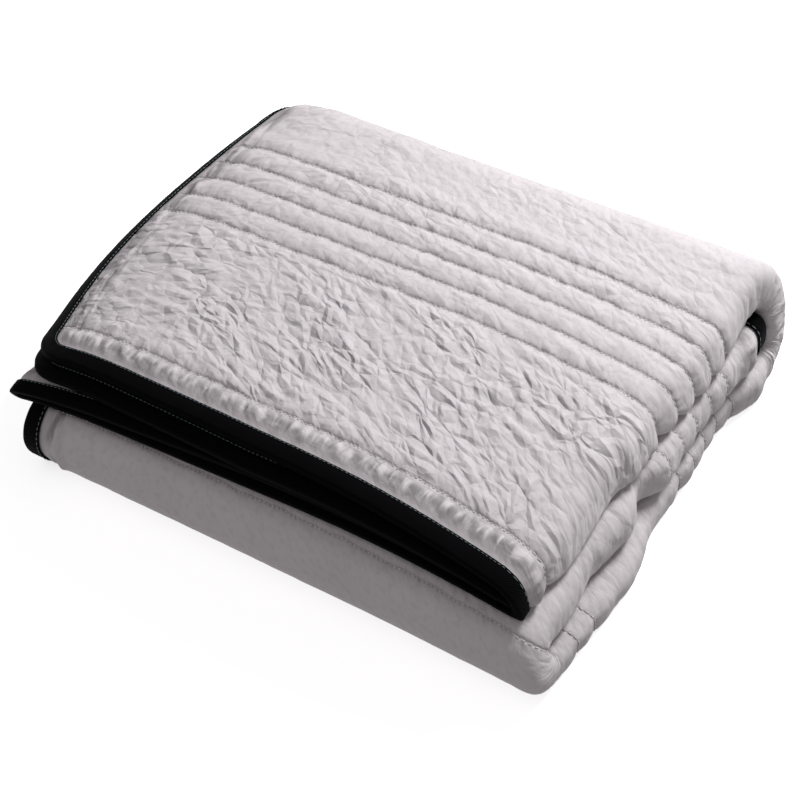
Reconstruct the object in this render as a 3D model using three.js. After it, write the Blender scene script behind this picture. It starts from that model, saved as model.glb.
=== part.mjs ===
import * as THREE from 'three';
import { mergeVertices } from 'three/addons/utils/BufferGeometryUtils.js';

// A quilted summer blanket with a black bound edge, folded into one thick pad.
// Units are millimetres and +Z is up. The origin is on the floor, at the middle
// of the pad. The long front fold runs along X, and +Y goes to the back.
//
// Flat, the blanket is a rectangle: u runs across it and v runs along it.
// It is folded in half and in half again across u, which gives four plies, and
// then in three along v: a top flap, the bottom, and a flap rolled in between.

// The cloth
const PLY_PITCH = 10;
const QUILT_THICKNESS = 8.6;
const STITCHED_THICKNESS = 6;
const HEM_THICKNESS = 4.4;
const GROOVE_HALF_WIDTH = 8;
const CORNER_RADIUS = 34;

// The binding tape, folded over the edge of the cloth
const TAPE_WIDTH = 16;
const TAPE_THICKNESS = 1.2;
const TAPE_CLEARANCE = 0.9;
const TAPE_EDGE_DEPTH = 2;
const HEM_WIDTH = TAPE_WIDTH + 3;
const HEM_SHOULDER = HEM_WIDTH + 9;

// Folding across u: four plies that share three folds
const PLY_RUN = 505;
const OUTER_FOLD_RADIUS = 1.5 * PLY_PITCH;
const SMALL_FOLD_RADIUS = 0.5 * PLY_PITCH;
const OUTER_FOLD_FLAT = Math.PI * OUTER_FOLD_RADIUS;
const SMALL_FOLD_FLAT = Math.PI * SMALL_FOLD_RADIUS;
const QUILT_WIDTH = 4 * PLY_RUN + OUTER_FOLD_FLAT + 2 * SMALL_FOLD_FLAT;
const FOLD_SQUARENESS = 2.5;

// Folding along v: the pad's side view, from the front of the top flap inwards
const FRONT_ROLL_Y = -191;
const BACK_BEND_Y = 203;
const LAYER_GAP = 2;
const FLAT_RUN = BACK_BEND_Y - FRONT_ROLL_Y;
const INNER_RUN = FLAT_RUN + 4;
const ROLL_RADIUS = 2 * PLY_PITCH + LAYER_GAP / 2;
const NOSE_RADIUS = 6 * PLY_PITCH + 1.5 * LAYER_GAP;
const BACK_RADIUS = 3 * PLY_PITCH;
const NOSE_TURN = 4;
const FLOOR_LIFT = OUTER_FOLD_RADIUS + QUILT_THICKNESS / 2;
const ROLL_CENTRE_Z = FLOOR_LIFT + ROLL_RADIUS;
const SIDE_VIEW = [
  { part: 'nose of the top flap', radius: NOSE_RADIUS, turn: NOSE_TURN },
  { part: 'top flap', run: FLAT_RUN },
  { part: 'upper back corner', radius: BACK_RADIUS, turn: 90 },
  { part: 'back', run: ROLL_RADIUS + NOSE_RADIUS - 2 * BACK_RADIUS },
  { part: 'lower back corner', radius: BACK_RADIUS, turn: 90 },
  { part: 'bottom', run: FLAT_RUN },
  { part: 'front roll', radius: ROLL_RADIUS, turn: 180 },
  { part: 'inner flap', run: INNER_RUN },
];

// How far each ply reaches past the first one at the nose of the top flap
const NOSE_REACH = [
  { ply: 'first', atStart: -2, atMiddle: 5, atEnd: 10 },
  { ply: 'fourth', atStart: 18, atMiddle: 30, atEnd: 40 },
  { ply: 'third', atStart: 37, atMiddle: 20, atEnd: 12 },
  { ply: 'second', atStart: 16, atMiddle: 21, atEnd: 14 },
];
const NOSE_REACH_FADE = 330;

// Outline of the pad seen from above, at distances along the folded cloth:
// the bound edge of the first ply at the left, and the outer fold at the right
const OUTLINE = [
  { along: 0, left: -277, right: 211, lean: 6 },
  { along: 100, left: -306, right: 214, lean: 7 },
  { along: 200, left: -313, right: 219, lean: 7 },
  { along: 300, left: -312, right: 227, lean: 7 },
  { along: 400, left: -305, right: 230, lean: 3 },
  { along: 490, left: -290, right: 246, lean: 0 },
  { along: 570, left: -282, right: 250, lean: 0 },
  { along: 670, left: -276, right: 240, lean: 0 },
  { along: 760, left: -275, right: 241, lean: 0 },
  { along: 860, left: -271, right: 249, lean: 0 },
  { along: 950, left: -267, right: 244, lean: 0 },
  { along: 1010, left: -267, right: 241, lean: 0 },
  { along: 1075, left: -265, right: 230, lean: 2 },
  { along: 1220, left: -268, right: 234, lean: 2 },
  { along: 1470, left: -268, right: 242, lean: 2 },
];
const SECOND_PLY_INSET = 0;
const SPINE_OVERHANG = 8;
const LEAN_REACH = 70;

// Height of the pad against its nominal height, over the footprint
const HEIGHTS = [
  { y: -235, left: 1.05, middle: 1.07, right: 0.64, droop: 0.06 },
  { y: -120, left: 0.98, middle: 1.03, right: 0.69, droop: 0.17 },
  { y: 0, left: 1.04, middle: 1.06, right: 0.79, droop: 0.16 },
  { y: 120, left: 1.05, middle: 1.04, right: 0.84, droop: 0.16 },
  { y: 240, left: 1.08, middle: 1.05, right: 1.05, droop: 0.2 },
];
const HALF_SPAN = 260;
const DROOP_WIDTH = 90;
const DROOP_REACH = 1.2;
const FRONT_SKEW = 4;

// Quilting rows across the blanket, by their distance from the front edge
const QUILTING = [
  { first: 45, rows: 1, pitch: 0 },
  { first: 220, rows: 5, pitch: 29 },
  { first: 624, rows: 5, pitch: 27 },
  { first: 907, rows: 2, pitch: 26 },
  { first: 1052, rows: 1, pitch: 0 },
  { first: 1278, rows: 5, pitch: 29 },
];

const radians = THREE.MathUtils.degToRad;
const lerp = THREE.MathUtils.lerp;
const smoothstep = THREE.MathUtils.smoothstep;

// A smooth curve through one column of a table
function readTable(table, key, column, at) {
  const last = table.length - 1;
  let row = 0;
  while (row < last - 1 && at > table[row + 1][key]) row += 1;
  const from = table[row];
  const to = table[row + 1];
  const span = to[key] - from[key];
  const slope = (index) => {
    const before = table[Math.max(index - 1, 0)];
    const after = table[Math.min(index + 1, last)];
    return (after[column] - before[column]) / (after[key] - before[key]);
  };
  const t = THREE.MathUtils.clamp((at - from[key]) / span, 0, 1);
  const t2 = t * t;
  const t3 = t2 * t;
  return (2 * t3 - 3 * t2 + 1) * from[column] + (t3 - 2 * t2 + t) * span * slope(row)
    + (3 * t2 - 2 * t3) * to[column] + (t3 - t2) * span * slope(row + 1);
}

// The side view as stretches of known start, each a straight or an arc
function layOutSideView() {
  let heading = radians(NOSE_TURN);
  let along = 0;
  const nose = SIDE_VIEW[0];
  const point = new THREE.Vector2(
    FRONT_ROLL_Y - nose.radius * Math.sin(heading),
    ROLL_CENTRE_Z + nose.radius * Math.cos(heading),
  );
  return SIDE_VIEW.map((stretch) => {
    const start = { ...stretch, along, heading, y: point.x, z: point.y };
    if (stretch.radius) {
      const angle = radians(stretch.turn);
      start.centreY = point.x + stretch.radius * Math.sin(heading);
      start.centreZ = point.y - stretch.radius * Math.cos(heading);
      along += (stretch.radius + OUTER_FOLD_RADIUS) * angle;
      heading -= angle;
      point.set(
        start.centreY - stretch.radius * Math.sin(heading),
        start.centreZ + stretch.radius * Math.cos(heading),
      );
    } else {
      along += stretch.run;
      point.x += stretch.run * Math.cos(heading);
      point.y += stretch.run * Math.sin(heading);
    }
    start.end = along;
    return start;
  });
}
const stretches = layOutSideView();
const QUILT_LENGTH = stretches[stretches.length - 1].end;
const TOP_FLAP_END = stretches[1].end;

// Place and outward direction in the side view, at a distance along the first ply
function sideView(along) {
  const stretch = stretches.find((each) => along <= each.end) ?? stretches[stretches.length - 1];
  const local = along - stretch.along;
  if (!stretch.radius) {
    const y = stretch.y + local * Math.cos(stretch.heading);
    const z = stretch.z + local * Math.sin(stretch.heading);
    return { y, z, outY: -Math.sin(stretch.heading), outZ: Math.cos(stretch.heading) };
  }
  const heading = stretch.heading - local / (stretch.radius + OUTER_FOLD_RADIUS);
  const outY = -Math.sin(heading);
  const outZ = Math.cos(heading);
  return {
    y: stretch.centreY + stretch.radius * outY,
    z: stretch.centreZ + stretch.radius * outZ,
    outY,
    outZ,
  };
}

// Where u falls among the plies and folds, and how far along that piece it is
const PIECES_ACROSS = [
  { name: 'first', flat: PLY_RUN },
  { name: 'outer fold', flat: OUTER_FOLD_FLAT },
  { name: 'fourth', flat: PLY_RUN },
  { name: 'spine', flat: SMALL_FOLD_FLAT },
  { name: 'third', flat: PLY_RUN },
  { name: 'inner fold', flat: SMALL_FOLD_FLAT },
  { name: 'second', flat: PLY_RUN },
];
function pieceAt(u) {
  let start = 0;
  for (const piece of PIECES_ACROSS) {
    const isLast = piece === PIECES_ACROSS[PIECES_ACROSS.length - 1];
    if (u <= start + piece.flat || isLast) {
      return { name: piece.name, part: (u - start) / piece.flat };
    }
    start += piece.flat;
  }
  return null;
}

function noseReach({ name, part }) {
  const ply = (wanted) => NOSE_REACH.find((row) => row.ply === wanted);
  const own = ply(name);
  if (own && part < 0.5) return lerp(own.atStart, own.atMiddle, 2 * part);
  if (own) return lerp(own.atMiddle, own.atEnd, 2 * part - 1);
  if (name === 'outer fold') return lerp(ply('first').atEnd, ply('fourth').atStart, part);
  if (name === 'spine') return lerp(ply('fourth').atEnd, ply('third').atStart, part);
  return lerp(ply('third').atEnd, ply('second').atStart, part);
}

// A fold's section is a little squarer than a half circle
function foldPoint(centreX, centreH, radius, angle, squareness) {
  const cos = Math.cos(angle);
  const sin = Math.sin(angle);
  const sum = Math.abs(cos) ** squareness + Math.abs(sin) ** squareness;
  const reach = radius * sum ** (-1 / squareness);
  return { x: centreX + reach * cos, h: centreH + reach * sin };
}

// Place in the four-ply section: x across, and h outwards from its middle
function sectionPoint(piece, w, along) {
  const right = readTable(OUTLINE, 'along', 'right', along);
  const left = readTable(OUTLINE, 'along', 'left', along);
  const foldX = right - OUTER_FOLD_RADIUS - QUILT_THICKNESS / 2;
  const spineX = left - SPINE_OVERHANG + SMALL_FOLD_RADIUS + QUILT_THICKNESS / 2;
  const { name, part } = piece;
  const turn = Math.PI * part;
  if (name === 'first') return { x: lerp(left, foldX, part), h: OUTER_FOLD_RADIUS + w };
  if (name === 'outer fold') {
    return foldPoint(foldX, 0, OUTER_FOLD_RADIUS + w, Math.PI / 2 - turn, FOLD_SQUARENESS);
  }
  if (name === 'fourth') return { x: lerp(foldX, spineX, part), h: -OUTER_FOLD_RADIUS - w };
  if (name === 'spine') {
    const level = -2 * SMALL_FOLD_RADIUS;
    return foldPoint(spineX, level, SMALL_FOLD_RADIUS + w, -Math.PI / 2 - turn, 2);
  }
  if (name === 'third') return { x: lerp(spineX, foldX, part), h: -SMALL_FOLD_RADIUS + w };
  if (name === 'inner fold') {
    return foldPoint(foldX, 0, SMALL_FOLD_RADIUS - w, -Math.PI / 2 + turn, FOLD_SQUARENESS);
  }
  return { x: lerp(foldX, left + SECOND_PLY_INSET, part), h: SMALL_FOLD_RADIUS - w };
}

// The outer fold leans out towards its lower edge
function leanFold(point, along) {
  const right = readTable(OUTLINE, 'along', 'right', along);
  const lean = readTable(OUTLINE, 'along', 'lean', along);
  const weight = smoothstep(point.x, right - LEAN_REACH, right);
  const level = point.h / (OUTER_FOLD_RADIUS + QUILT_THICKNESS / 2);
  point.x -= lean * weight * level;
}

// The left edge of the top flap over a point of the pad
function topFlapLeft(y) {
  const along = THREE.MathUtils.clamp(y - FRONT_ROLL_Y + stretches[0].end, 0, FLAT_RUN);
  return readTable(OUTLINE, 'along', 'left', along);
}

// The pad is fuller in the middle, pressed down towards its front right corner,
// and rounded off along its left side
function settle(position) {
  const side = THREE.MathUtils.clamp(position.x / HALF_SPAN, -1, 1);
  const height = (column) => readTable(HEIGHTS, 'y', column, position.y);
  const edge = height(side < 0 ? 'left' : 'right');
  const nearLeft = 1 - (position.x - topFlapLeft(position.y)) / DROOP_WIDTH;
  const droop = height('droop') * THREE.MathUtils.clamp(nearLeft, 0, DROOP_REACH) ** 2;
  position.z *= lerp(height('middle'), edge, side * side) * (1 - droop);
  position.y -= FRONT_SKEW * side * smoothstep(-position.y, 0, -FRONT_ROLL_Y);
}

// From the flat blanket to the folded pad; w is the height over the cloth's middle
function fold(u, v, w) {
  const piece = pieceAt(u);
  const fade = 1 - smoothstep(v, 0, NOSE_REACH_FADE);
  const along = v - noseReach(piece) * fade;
  const across = sectionPoint(piece, w, along);
  leanFold(across, along);
  const side = sideView(along);
  const position = new THREE.Vector3(
    across.x,
    side.y + across.h * side.outY,
    side.z + across.h * side.outZ,
  );
  settle(position);
  return position;
}

const quiltingRows = QUILTING.flatMap(({ first, rows, pitch }) =>
  Array.from({ length: rows }, (_, row) => first + row * pitch));

// How far the rounded corners draw the bound sides in, at a distance along v
function cornerInset(v) {
  const fromEnd = Math.min(v, QUILT_LENGTH - v);
  if (fromEnd >= CORNER_RADIUS) return 0;
  const rise = CORNER_RADIUS - Math.max(fromEnd, 0);
  return CORNER_RADIUS - Math.sqrt(CORNER_RADIUS ** 2 - rise ** 2);
}

// Distance from a flat point to the bound edge
function distanceToEdge(u, v) {
  const fromSide = Math.min(u, QUILT_WIDTH - u);
  const fromEnd = Math.min(v, QUILT_LENGTH - v);
  if (fromSide < CORNER_RADIUS && fromEnd < CORNER_RADIUS) {
    return CORNER_RADIUS - Math.hypot(CORNER_RADIUS - fromSide, CORNER_RADIUS - fromEnd);
  }
  return Math.min(fromSide, fromEnd);
}

// Thickness of the filled cloth: thin at the hem and along each quilting row
function thicknessAt(u, v) {
  const nearest = Math.min(...quiltingRows.map((row) => Math.abs(row - v)));
  const puff = smoothstep(nearest, 0, GROOVE_HALF_WIDTH);
  const quilted = lerp(STITCHED_THICKNESS, QUILT_THICKNESS, puff);
  const shoulder = smoothstep(distanceToEdge(u, v), HEM_WIDTH, HEM_SHOULDER);
  return lerp(HEM_THICKNESS, quilted, shoulder);
}

const EDGE_STATION = HEM_SHOULDER + 18;
const DROOP_STATION = HEM_SHOULDER + 44;

// Divisions across u: the same on each ply, so that neighbours stay parallel,
// and close together in the folds
function spread(from, to, count) {
  return Array.from({ length: count }, (_, index) => lerp(from, to, (index + 1) / count));
}
function divisionsAcross() {
  const fromEdge = [HEM_SHOULDER, DROOP_STATION, ...spread(DROOP_STATION, PLY_RUN, 4)];
  const towardsEdge = fromEdge.map((distance) => PLY_RUN - distance).reverse();
  const stops = [0, HEM_WIDTH, HEM_SHOULDER, EDGE_STATION, ...fromEdge.slice(1)];
  let start = PLY_RUN;
  const addFold = (flat, count) => {
    stops.push(...spread(start, start + flat, count));
    start += flat;
  };
  const addPly = (distances) => {
    stops.push(...distances.map((distance) => start + distance));
    start += PLY_RUN;
  };
  addFold(OUTER_FOLD_FLAT, 6);
  addPly([...towardsEdge.slice(1), PLY_RUN]);
  addFold(SMALL_FOLD_FLAT, 3);
  addPly(fromEdge);
  addFold(SMALL_FOLD_FLAT, 4);
  addPly([...towardsEdge.slice(1), PLY_RUN - HEM_WIDTH, PLY_RUN]);
  return stops;
}

// Divisions along v: at the hems, at each quilting row and its two shoulders,
// and at even steps through the bends. Of two that are too close, the one of
// higher rank stays.
const BEND_STEP = 27;
const WIDEST_STEP = 100;
const WIDEST_TOP_STEP = 54;
const CLOSEST_STEP = 4;
const CHANNEL_WIDTH = 40;
const RANK = { bend: 1, shoulder: 2, row: 3, hem: 4 };
function divisionsAlong() {
  const stops = new Map();
  const add = (v, rank) => stops.set(v, Math.max(rank, stops.get(v) ?? 0));
  [0, CLOSEST_STEP + 1, HEM_WIDTH, HEM_SHOULDER].forEach((v) => {
    add(v, RANK.hem);
    add(QUILT_LENGTH - v, RANK.hem);
  });
  quiltingRows.forEach((row, index) => {
    add(row, RANK.row);
    const next = quiltingRows[index + 1] ?? Infinity;
    const before = quiltingRows[index - 1] ?? -Infinity;
    const inChannel = next - row < CHANNEL_WIDTH;
    add(inChannel ? (row + next) / 2 : row + GROOVE_HALF_WIDTH, RANK.shoulder);
    if (row - before >= CHANNEL_WIDTH) add(row - GROOVE_HALF_WIDTH, RANK.shoulder);
  });
  stretches.forEach((stretch) => {
    add(stretch.end, RANK.bend);
    if (!stretch.radius) return;
    const steps = Math.max(1, Math.round(stretch.turn / BEND_STEP));
    spread(stretch.along, stretch.end, steps).forEach((v) => add(v, RANK.bend));
  });
  const kept = [];
  const byRank = [...stops.entries()].sort((a, b) => b[1] - a[1] || a[0] - b[0]);
  byRank.forEach(([v]) => {
    if (kept.every((other) => Math.abs(other - v) >= CLOSEST_STEP)) kept.push(v);
  });
  kept.sort((a, b) => a - b);
  return kept.flatMap((v, index) => {
    const next = kept[index + 1];
    if (next === undefined) return [v];
    const widest = v < TOP_FLAP_END ? WIDEST_TOP_STEP : WIDEST_STEP;
    const parts = Math.ceil((next - v) / widest);
    return [v, ...spread(v, next, parts).slice(0, -1)];
  });
}
const acrossStops = divisionsAcross();
const alongStops = divisionsAlong();

// A flat grid node: the bound sides follow the rounded corners, and the columns
// beside them ease back to straight
const CORNER_EASE = 120;
function gridPoint(column, row) {
  const v = alongStops[row];
  const inset = cornerInset(v);
  const u = acrossStops[column];
  const lastColumn = acrossStops.length - 1;
  const shift = (distance) => inset * (1 - smoothstep(distance, 0, CORNER_EASE));
  if (column < lastColumn / 2) return { u: u + shift(u), v };
  return { u: u - shift(QUILT_WIDTH - u), v };
}

// One closed skin of shared points
const MERGE_DISTANCE = 1e-5;
function closedGeometry(geometry) {
  geometry.deleteAttribute('normal');
  geometry.deleteAttribute('uv');
  return mergeVertices(geometry, MERGE_DISTANCE);
}

function refreshNormals(geometry) {
  geometry.computeVertexNormals();
  geometry.computeBoundingBox();
  return geometry;
}

// The quilt: a finely divided flat slab whose points are then folded
function makeQuilt() {
  const columns = acrossStops.length - 1;
  const rows = alongStops.length - 1;
  const slab = closedGeometry(new THREE.BoxGeometry(columns, rows, 1, columns, rows, 1));
  const points = slab.getAttribute('position');
  for (let index = 0; index < points.count; index += 1) {
    const column = Math.round(points.getX(index) + columns / 2);
    const row = Math.round(points.getY(index) + rows / 2);
    const { u, v } = gridPoint(column, row);
    const w = Math.sign(points.getZ(index)) * thicknessAt(u, v) / 2;
    const { x, y, z } = fold(u, v, w);
    points.setXYZ(index, x, y, z);
  }
  return refreshNormals(slab);
}

// The flat outline, node by node, with the direction into the cloth
function outlineNodes() {
  const columns = acrossStops.length - 1;
  const rows = alongStops.length - 1;
  const nodes = [];
  for (let column = 0; column < columns; column += 1) nodes.push(gridPoint(column, 0));
  for (let row = 0; row < rows; row += 1) nodes.push(gridPoint(columns, row));
  for (let column = columns; column > 0; column -= 1) nodes.push(gridPoint(column, rows));
  for (let row = rows; row > 0; row -= 1) nodes.push(gridPoint(0, row));
  return nodes.map((node, index) => {
    const before = nodes[(index + nodes.length - 1) % nodes.length];
    const after = nodes[(index + 1) % nodes.length];
    const inU = (a, b) => -(b.v - a.v) / Math.hypot(b.u - a.u, b.v - a.v);
    const inV = (a, b) => (b.u - a.u) / Math.hypot(b.u - a.u, b.v - a.v);
    const u = inU(before, node) + inU(node, after);
    const v = inV(before, node) + inV(node, after);
    const scale = 2 / (u * u + v * v);
    return { ...node, inU: u * scale, inV: v * scale };
  });
}

// The tape's section: d is the depth into the cloth, w the height over its middle
function tapeSection() {
  const inner = HEM_THICKNESS / 2 + TAPE_CLEARANCE;
  const outer = inner + TAPE_THICKNESS;
  const nip = -TAPE_CLEARANCE;
  const crest = nip - TAPE_EDGE_DEPTH;
  const upper = [
    { d: nip, w: inner },
    { d: TAPE_WIDTH, w: inner },
    { d: TAPE_WIDTH, w: outer },
    { d: nip, w: outer },
    { d: crest, w: inner },
  ];
  const lower = upper.map(({ d, w }) => ({ d, w: -w })).reverse();
  return [...upper, ...lower].reverse();
}

// The binding: a ring whose section is the tape folded over the edge
const RING = { radius: 4, tube: 1 };
const FULL_TURN = 2 * Math.PI;
function makeBinding() {
  const nodes = outlineNodes();
  const section = tapeSection();
  const ring = closedGeometry(
    new THREE.TorusGeometry(RING.radius, RING.tube, section.length, nodes.length),
  );
  const points = ring.getAttribute('position');
  for (let index = 0; index < points.count; index += 1) {
    const x = points.getX(index);
    const y = points.getY(index);
    const around = Math.atan2(y, x) / FULL_TURN;
    const about = Math.atan2(points.getZ(index), Math.hypot(x, y) - RING.radius) / FULL_TURN;
    const node = nodes[Math.round((around + 1) * nodes.length) % nodes.length];
    const corner = section[Math.round((about + 1) * section.length) % section.length];
    const u = node.u + corner.d * node.inU;
    const v = node.v + corner.d * node.inV;
    const folded = fold(u, v, corner.w);
    points.setXYZ(index, folded.x, folded.y, folded.z);
  }
  return refreshNormals(ring);
}

const quiltCloth = new THREE.MeshStandardMaterial({
  name: 'quilted_cotton', color: 0xc9c1c2, roughness: 0.88, metalness: 0,
});
const bindingTape = new THREE.MeshStandardMaterial({
  name: 'binding_tape', color: 0x0b0b0e, roughness: 0.8, metalness: 0,
});

const quilt = new THREE.Mesh(makeQuilt(), quiltCloth);
quilt.name = 'quilt';
const binding = new THREE.Mesh(makeBinding(), bindingTape);
binding.name = 'edge_binding';

// Bring the origin to the floor, under the middle of the pad
function centreOnFloor(meshes) {
  const box = new THREE.Box3();
  meshes.forEach(({ geometry }) => box.union(geometry.boundingBox));
  const middle = box.getCenter(new THREE.Vector3());
  meshes.forEach(({ geometry }) => geometry.translate(-middle.x, -middle.y, -box.min.z));
}
centreOnFloor([quilt, binding]);

const blanket = new THREE.Group();
blanket.add(quilt, binding);
export default blanket;
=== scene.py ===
import math

import bpy
import numpy as np
from bpy.props import FloatProperty, FloatVectorProperty, PointerProperty
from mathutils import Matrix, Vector


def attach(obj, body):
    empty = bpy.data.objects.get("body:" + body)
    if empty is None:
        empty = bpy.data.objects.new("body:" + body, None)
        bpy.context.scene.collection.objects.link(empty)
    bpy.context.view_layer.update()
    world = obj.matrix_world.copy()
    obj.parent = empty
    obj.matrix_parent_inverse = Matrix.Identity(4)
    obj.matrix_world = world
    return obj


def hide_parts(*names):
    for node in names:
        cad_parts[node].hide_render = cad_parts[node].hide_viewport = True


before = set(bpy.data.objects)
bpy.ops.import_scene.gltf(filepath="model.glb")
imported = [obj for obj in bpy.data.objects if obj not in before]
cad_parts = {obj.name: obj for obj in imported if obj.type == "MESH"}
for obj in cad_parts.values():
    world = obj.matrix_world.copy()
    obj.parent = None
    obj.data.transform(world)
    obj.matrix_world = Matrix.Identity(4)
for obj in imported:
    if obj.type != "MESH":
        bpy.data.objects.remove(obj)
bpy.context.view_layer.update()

bl_info = {
    "name": "Folded quilted blanket",
    "version": (1, 0, 0),
    "blender": (4, 5, 0),
    "location": "3D View > Sidebar > Blanket",
    "description": "Makes a folded quilted blanket with its bound edge and its stitches",
    "category": "Object",
}

# The folded shape is worked out in millimetres and made in metres
MM = 0.001

# Middle of the pad, in the frame in which the fold tables are written
PAD_MIDDLE = np.array([-35.04, 9.3, 0.0])

# The cloth
PLY_PITCH = 10.0
QUILT_THICKNESS = 8.6
STITCHED_THICKNESS = 6.0
HEM_THICKNESS = 4.4
CORNER_RADIUS = 34.0
CORNER_EASE = 120.0

# The binding tape
TAPE_WIDTH = 16.0
TAPE_THICKNESS = 1.2
TAPE_CLEARANCE = 0.9
TAPE_EDGE_DEPTH = 2.0
HEM_WIDTH = TAPE_WIDTH + 3.0
HEM_SHOULDER = HEM_WIDTH + 9.0
HEM_RAMP = 3.0

# The tape's section: its bevels, where it is thickest, and the ripple along it
TAPE_BEVEL = 0.6
TAPE_CROWN_AT = 8.0
RIPPLE_LENGTH = 11.0
RIPPLE_WIDTH = 12.0
RIPPLE_LIMIT = 0.3

# Folding across the blanket: four plies that share three folds
PLY_RUN = 505.0
OUTER_FOLD_RADIUS = 1.5 * PLY_PITCH
SMALL_FOLD_RADIUS = 0.5 * PLY_PITCH
OUTER_FOLD_FLAT = math.pi * OUTER_FOLD_RADIUS
SMALL_FOLD_FLAT = math.pi * SMALL_FOLD_RADIUS
QUILT_WIDTH = 4 * PLY_RUN + OUTER_FOLD_FLAT + 2 * SMALL_FOLD_FLAT
FOLD_SQUARENESS = 3.0

# Folding along the blanket
FRONT_ROLL_Y = -191.0
BACK_BEND_Y = 203.0
LAYER_GAP = 2.0
FLAT_RUN = BACK_BEND_Y - FRONT_ROLL_Y
INNER_RUN = FLAT_RUN + 4.0
ROLL_RADIUS = 2 * PLY_PITCH + LAYER_GAP / 2
NOSE_RADIUS = 6 * PLY_PITCH + 1.5 * LAYER_GAP
BACK_RADIUS = 3 * PLY_PITCH
NOSE_TURN = 4.0
FLOOR_LIFT = OUTER_FOLD_RADIUS + QUILT_THICKNESS / 2
ROLL_CENTRE_Z = FLOOR_LIFT + ROLL_RADIUS
SIDE_VIEW = (
    {"part": "nose", "radius": NOSE_RADIUS, "turn": NOSE_TURN},
    {"part": "top flap", "run": FLAT_RUN},
    {"part": "upper back corner", "radius": BACK_RADIUS, "turn": 90.0},
    {"part": "back", "run": ROLL_RADIUS + NOSE_RADIUS - 2 * BACK_RADIUS},
    {"part": "lower back corner", "radius": BACK_RADIUS, "turn": 90.0},
    {"part": "bottom", "run": FLAT_RUN},
    {"part": "front roll", "radius": ROLL_RADIUS, "turn": 180.0},
    {"part": "inner flap", "run": INNER_RUN},
)


def table(names, *rows):
    """A short table as one array for each named column."""
    return dict(zip(names.split(), np.array(rows, dtype=float).T))


# How far each piece of the section reaches past the first ply at the nose
NOSE_REACH = {
    "first": (-2.0, 5.0, 10.0),
    "outer fold": (10.0, 14.0, 18.0),
    "fourth": (18.0, 30.0, 40.0),
    "spine": (40.0, 38.5, 37.0),
    "third": (37.0, 20.0, 12.0),
    "inner fold": (12.0, 14.0, 16.0),
    "second": (16.0, 21.0, 14.0),
}
NOSE_REACH_FADE = 330.0

# Outline of the pad from above, at distances along the folded cloth
OUTLINE = table(
    "along left right lean",
    (0, -277, 211, 6),
    (100, -306, 214, 7),
    (200, -313, 219, 7),
    (300, -312, 227, 7),
    (400, -305, 230, 3),
    (490, -290, 246, 0),
    (570, -282, 250, 0),
    (670, -276, 240, 0),
    (760, -275, 241, 0),
    (860, -271, 249, 0),
    (950, -267, 244, 0),
    (1010, -267, 241, 0),
    (1075, -265, 230, 2),
    (1220, -268, 234, 2),
    (1470, -268, 242, 2),
)
SPINE_OVERHANG = 8.0
LEAN_REACH = 70.0

# Where the right end of a layer is pushed in, or stands out if the push is negative
PUSHES = table(
    "along reach push",
    (62, 26, -3.0),
    (128, 22, 3.0),
    (176, 16, -3.5),
    (222, 12, 2.5),
    (380, 20, 2.0),
    (590, 16, -5.0),
    (640, 22, 3.0),
    (705, 20, -3.0),
    (790, 26, 3.0),
    (850, 24, -2.5),
    (1100, 16, -2.0),
    (1150, 20, 4.0),
    (1205, 16, -3.0),
    (1238, 17, 10.0),
    (1272, 14, -3.5),
    (1350, 20, 2.5),
    (1440, 16, -3.0),
)

# Height of the pad against its nominal height, over the footprint
HEIGHTS = table(
    "y left middle right droop edge",
    (-235, 1.05, 1.07, 0.64, 0.06, 0.0),
    (-120, 0.98, 1.03, 0.69, 0.17, 0.05),
    (0, 1.04, 1.06, 0.79, 0.16, 0.065),
    (120, 1.05, 1.04, 0.84, 0.16, 0.065),
    (240, 1.08, 1.05, 1.05, 0.2, 0.06),
)
HALF_SPAN = 260.0
DROOP_WIDTH = 90.0
EDGE_WIDTH = 28.0
DROOP_REACH = 1.2
FRONT_SKEW = 4.0

# Quilting rows across the blanket: first row, number of rows and their pitch
QUILTING = table(
    "first rows pitch",
    (45, 1, 0),
    (220, 5, 29),
    (624, 5, 27),
    (907, 2, 26),
    (1052, 1, 0),
    (1278, 5, 29),
)
QUILTING_ROWS = np.concatenate([
    first + pitch * np.arange(int(rows))
    for first, rows, pitch in zip(QUILTING["first"], QUILTING["rows"], QUILTING["pitch"])
])

# The rows wander: how far and over what length, in millimetres
WANDER = table(
    "reach length",
    (0.5, 71.0),
    (0.35, 31.0),
    (0.4, 5.6),
)

# The cloth domes up between the rows over this reach, and dips to a narrow seam at each
DOME_REACH = 14.0
SEAM_WIDTH = 1.8
SEAM_DEPTH = 0.7
ROW_DROP = 0.6
PAD_REACH = 7.0
# How deep the rows are drawn in on the lower layers, as a share of the top's
LOWER_PINCH = 0.6
LOWER_START = (480.0, 600.0)
# Puckers at the rows: their spacing, their length and how far they reach from the row
PUCKER_SPACING = 7.5
PUCKER_LENGTH = 46.0
PUCKER_REACH = 8.0
# Lumps behind the tape: distance from the bound edge and reach
LUMPS_AT = 32.0
LUMPS_REACH = 8.0
# Where the outer face rests on the floor, and where it is rolled inside, along the blanket
REST_START = (535.0, 565.0)
REST_END = (965.0, 1000.0)
INSIDE_START = (1052.0, 1085.0)

# Creases: length and spacing in millimetres, turn in degrees, seed and share
CRUMPLE_SETS = (
    (90.0, 27.0, 4.0, 11, 0.9),
    (70.0, 30.0, 38.0, 23, 0.5),
    (52.0, 18.0, -12.0, 29, -0.8),
    (40.0, 12.0, 6.0, 37, 0.7),
    (24.0, 8.0, -6.0, 51, 0.35),
)
GATHER_SETS = (
    (34.0, 60.0, 0.0, 71, 1.0),
    (13.0, 30.0, 12.0, 83, 0.5),
)
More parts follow.
